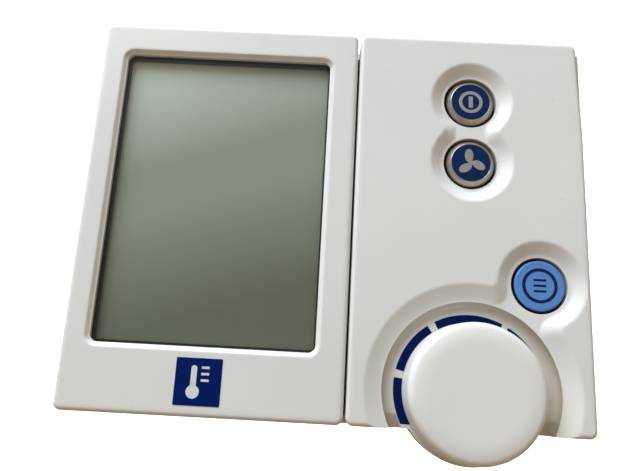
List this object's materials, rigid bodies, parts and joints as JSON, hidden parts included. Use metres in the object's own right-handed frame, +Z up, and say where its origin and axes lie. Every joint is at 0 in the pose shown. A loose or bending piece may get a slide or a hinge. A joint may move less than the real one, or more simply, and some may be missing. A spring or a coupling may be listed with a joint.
{
  "type": "wall thermostat",
  "caption": "Wall thermostat with a tall display window, push buttons in round dishes and a large dial that overhangs the bottom edge.",
  "frame": {"origin": "on the wall plane, midway between the wall screws and at the middle of the case", "axes": "+X to the right as the user sees it, +Z up, +Y into the wall, so the front faces -Y"},
  "size_m": [0.138, 0.0322, 0.1186],
  "materials": {
    "white_plastic": "warm white moulded ABS, fine satin grain",
    "knob_plastic": "warm white moulded ABS, polished",
    "rear_plastic": "warm white moulded ABS, satin",
    "plate_plastic": "light grey moulded ABS",
    "silver_plastic": "silver grey painted plastic",
    "navy_print": "dark navy print",
    "navy_inlay": "dark blue plastic",
    "blue_plastic": "light blue moulded plastic",
    "silver_print": "silver print",
    "clear_plastic": "clear acrylic",
    "black_rubber": "black foam rubber",
    "lcd_glass": "grey-green liquid crystal glass",
    "diffuser": "frosted acrylic",
    "reflector": "white film",
    "frame_plastic": "white nylon",
    "elastomer": "striped conductive elastomer",
    "board": "green solder mask",
    "switch_plastic": "black nylon",
    "zinc": "zinc plated steel",
    "brass": "machined brass",
    "chip_black": "black epoxy",
    "tin_can": "drawn aluminium can",
    "terminal_green": "green polyamide",
    "bead": "black epoxy bead"
  },
  "bodies": {
    "housing": {"wall_plate": "plate_plastic", "rear_case": "rear_plastic", "lock_screw": "zinc", "case_screws": "zinc", "display_bezel": "white_plastic", "control_cover": "white_plastic", "badge": "navy_print", "badge_symbol": "silver_print", "display_lens": "clear_plastic", "lens_gasket": "black_rubber", "lcd_front_glass": "lcd_glass", "lcd_rear_glass": "lcd_glass", "light_guide": "diffuser", "reflector_sheet": "reflector", "lcd_frame": "frame_plastic", "connector_strips": "elastomer", "main_board": "board", "board_screws": "zinc", "power_switch": "switch_plastic", "function_switch": "switch_plastic", "mode_switch": "switch_plastic", "encoder_body": "zinc", "encoder_bushing": "brass", "terminal_block": "terminal_green", "terminal_screws": "zinc", "microcontroller": "chip_black", "crystal": "tin_can", "capacitor": "tin_can", "voltage_regulator": "chip_black", "temperature_sensor": "bead", "scale_arcs": "navy_print"},
    "power_key": {"power_button": "silver_plastic", "power_inlay": "navy_inlay", "power_symbol": "silver_print", "power_plunger": "switch_plastic"},
    "function_key": {"function_button": "silver_plastic", "function_inlay": "navy_inlay", "function_symbol": "silver_print", "function_plunger": "switch_plastic"},
    "mode_key": {"mode_button": "blue_plastic", "mode_symbol": "navy_print", "mode_plunger": "switch_plastic"},
    "dial": {"dial_knob": "knob_plastic", "encoder_shaft": "zinc", "encoder_rotor": "brass"}
  },
  "joints": [
    {"name": "power_press", "type": "slide", "parent": "housing", "child": "power_key", "axis": [0, 1, 0], "range_m": [0, 0.0005], "stiffness_N_per_m": 800},
    {"name": "function_press", "type": "slide", "parent": "housing", "child": "function_key", "axis": [0, 1, 0], "range_m": [0, 0.0005], "stiffness_N_per_m": 800},
    {"name": "mode_press", "type": "slide", "parent": "housing", "child": "mode_key", "axis": [0, 1, 0], "range_m": [0, 0.0005], "stiffness_N_per_m": 800},
    {"name": "dial_turn", "type": "hinge", "parent": "housing", "child": "dial", "pos_m": [0.0377, -0.02, -0.04505], "axis": [0, -1, 0], "continuous": true}
  ]
}
